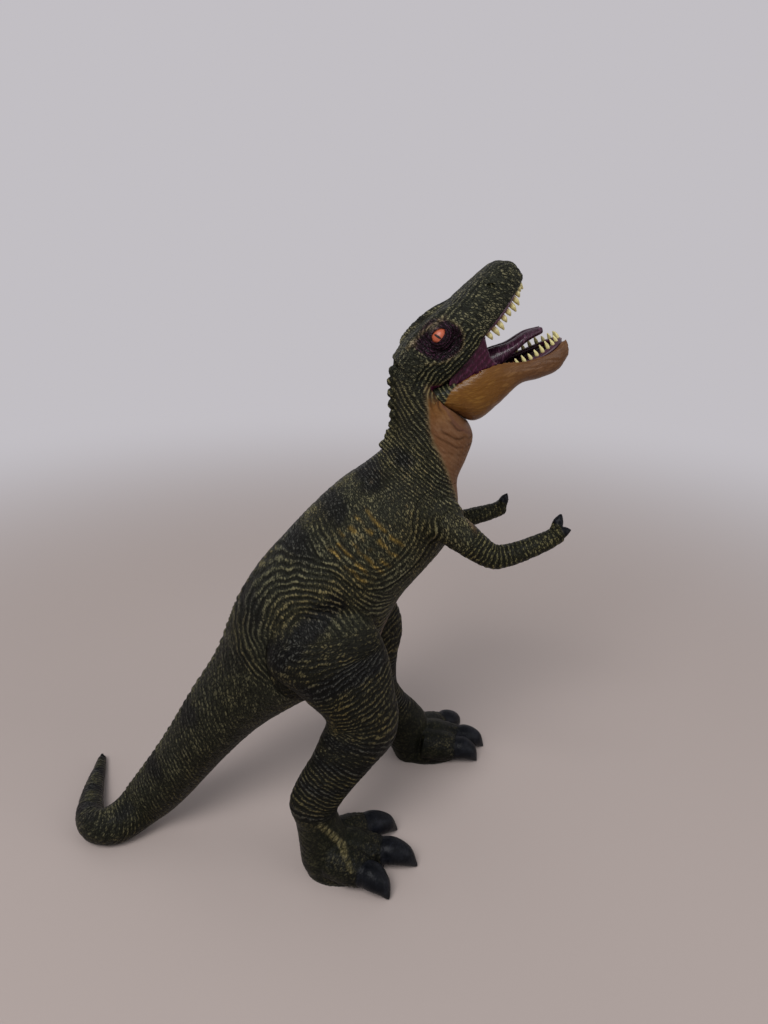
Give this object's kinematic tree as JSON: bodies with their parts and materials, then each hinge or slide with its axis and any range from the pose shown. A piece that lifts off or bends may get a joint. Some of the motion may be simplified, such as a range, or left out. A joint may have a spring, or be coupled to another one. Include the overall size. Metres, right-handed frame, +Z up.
{
  "type": "toy dinosaur",
  "caption": "Standing two-legged toy dinosaur with an open hinged mouth, turning neck, arms and legs, and a long tail that props it up on the ground.",
  "frame": {"origin": "on the ground, under the middle of the whole toy's box, between the feet and a little behind them", "axes": "+X forward, the way that the toy looks; +Y to the animal's left; +Z up"},
  "size_m": [0.3689, 0.1947, 0.4234],
  "materials": {
    "hide": "soft vinyl with moulded wrinkles, dark grey-green, dry-brushed yellow on the ridges and striped black",
    "jaw_hide": "soft vinyl, glossy orange tan, with fine upright wrinkles",
    "mouth_lining": "soft vinyl, glossy dark purple",
    "teeth": "aged ivory, satin",
    "eyes": "glossy amber with a black slit",
    "pin_steel": "plain wire"
  },
  "bodies": {
    "trunk": {"body_skin": "hide"},
    "head": {"head_skin": "hide", "palate": "mouth_lining", "upper_teeth": "teeth", "right_eye": "eyes", "left_eye": "eyes", "jaw_pin": "pin_steel"},
    "jaw": {"lower_jaw": "jaw_hide", "mouth_floor": "mouth_lining", "tongue": "mouth_lining", "lower_teeth": "teeth"},
    "right_arm_body": {"right_arm": "hide"},
    "left_arm_body": {"left_arm": "hide"},
    "right_leg_body": {"right_leg": "hide"},
    "left_leg_body": {"left_leg": "hide"}
  },
  "joints": [
    {"name": "neck", "type": "hinge", "parent": "trunk", "child": "head", "pos_m": [0.0825, 0.001, 0.288], "axis": [0.3173, 0, 0.9483], "range_deg": [-30, 30]},
    {"name": "jaw_hinge", "type": "hinge", "parent": "head", "child": "jaw", "pos_m": [0.099, 0.001, 0.342], "axis": [0, -1, 0], "range_deg": [0, 20]},
    {"name": "right_shoulder", "type": "hinge", "parent": "trunk", "child": "right_arm_body", "pos_m": [0.092, -0.026, 0.263], "axis": [0, -1, 0], "range_deg": [-45, 45]},
    {"name": "left_shoulder", "type": "hinge", "parent": "trunk", "child": "left_arm_body", "pos_m": [0.092, 0.028, 0.263], "axis": [0, -1, 0], "range_deg": [-45, 45]},
    {"name": "right_hip", "type": "hinge", "parent": "trunk", "child": "right_leg_body", "pos_m": [0.016, -0.03, 0.165], "axis": [0, -1, 0], "range_deg": [-25, 20]},
    {"name": "left_hip", "type": "hinge", "parent": "trunk", "child": "left_leg_body", "pos_m": [0.016, 0.032, 0.165], "axis": [0, -1, 0], "range_deg": [-25, 20]}
  ]
}
